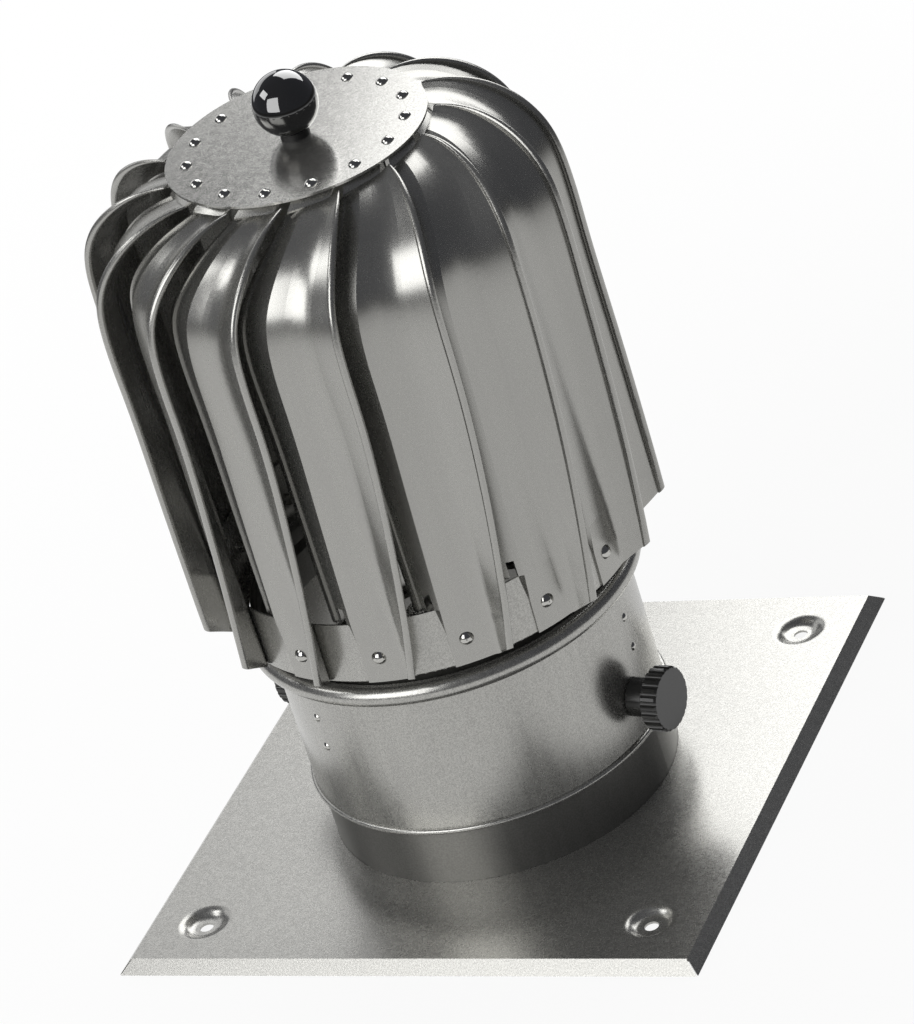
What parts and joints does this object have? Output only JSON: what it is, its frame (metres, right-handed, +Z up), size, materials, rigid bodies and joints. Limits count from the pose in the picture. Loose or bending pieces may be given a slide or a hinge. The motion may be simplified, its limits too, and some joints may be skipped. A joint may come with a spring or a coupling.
{
  "type": "rotating chimney cowl",
  "caption": "Wind-driven chimney cowl: square base plate, round flue sleeve with clamp knobs, and a spinning domed head of curved blades under a riveted disc with a ball knob.",
  "frame": {"origin": "centre of the base plate's footprint, on the surface that the plate rests on", "axes": "+Z up along the spin axis; +X and +Y along the plate's sides, with the picture's nearest corner between +X and -Y"},
  "size_m": [0.26, 0.26, 0.3451],
  "materials": {
    "sheet_steel": "satin stainless sheet with a fine grain",
    "blade_steel": "bright rolled stainless sheet",
    "rivet_steel": "polished stainless rivet heads",
    "turned_steel": "plain turned steel",
    "bearing_steel": "ground bearing steel",
    "housing_aluminium": "turned aluminium",
    "seal_rubber": "matt black rubber",
    "knob_plastic": "black moulded plastic",
    "ball_plastic": "glossy black moulded plastic"
  },
  "bodies": {
    "base": {"base_plate": "sheet_steel", "flue_stub": "sheet_steel"},
    "head": {"sleeve": "sheet_steel", "rain_collar": "sheet_steel", "spindle_bracket": "sheet_steel", "bracket_rivets": "rivet_steel", "spindle": "turned_steel", "spindle_washer": "turned_steel", "spindle_nut": "turned_steel", "spindle_clip": "turned_steel", "bearing_spacer": "turned_steel", "lower_bearing_inner": "bearing_steel", "upper_bearing_inner": "bearing_steel", "clamp_boss_1": "turned_steel", "clamp_boss_2": "turned_steel"},
    "clamp_1": {"clamp_knob_1": "knob_plastic", "clamp_screw_1": "turned_steel"},
    "clamp_2": {"clamp_knob_2": "knob_plastic", "clamp_screw_2": "turned_steel"},
    "rotor": {"rotor_ring": "sheet_steel", "top_disc": "sheet_steel", "blade_01": "blade_steel", "blade_02": "blade_steel", "blade_03": "blade_steel", "blade_04": "blade_steel", "blade_05": "blade_steel", "blade_06": "blade_steel", "blade_07": "blade_steel", "blade_08": "blade_steel", "blade_09": "blade_steel", "blade_10": "blade_steel", "blade_11": "blade_steel", "blade_12": "blade_steel", "blade_13": "blade_steel", "blade_14": "blade_steel", "blade_15": "blade_steel", "disc_rivets": "rivet_steel", "ring_rivets": "rivet_steel", "bearing_housing": "housing_aluminium", "lower_bearing_outer": "bearing_steel", "upper_bearing_outer": "bearing_steel", "housing_clip": "turned_steel", "dust_seal": "seal_rubber", "ball_stud": "turned_steel", "ball_knob": "ball_plastic"}
  },
  "joints": [
    {"name": "head_lift", "type": "slide", "parent": "base", "child": "head", "axis": [0, 0, 1], "range_m": [0, 0.032]},
    {"name": "rotor_spin", "type": "hinge", "parent": "head", "child": "rotor", "pos_m": [0, 0, 0.28], "axis": [0, 0, 1], "continuous": true},
    {"name": "clamp_1_turn", "type": "hinge", "parent": "head", "child": "clamp_1", "pos_m": [0.0891, -0.01252, 0.051], "axis": [0.9903, -0.1392, 0], "range_deg": [0, 1080]},
    {"name": "clamp_2_turn", "type": "hinge", "parent": "head", "child": "clamp_2", "pos_m": [-0.0891, 0.01252, 0.051], "axis": [-0.9903, 0.1392, 0], "range_deg": [0, 1080]}
  ]
}
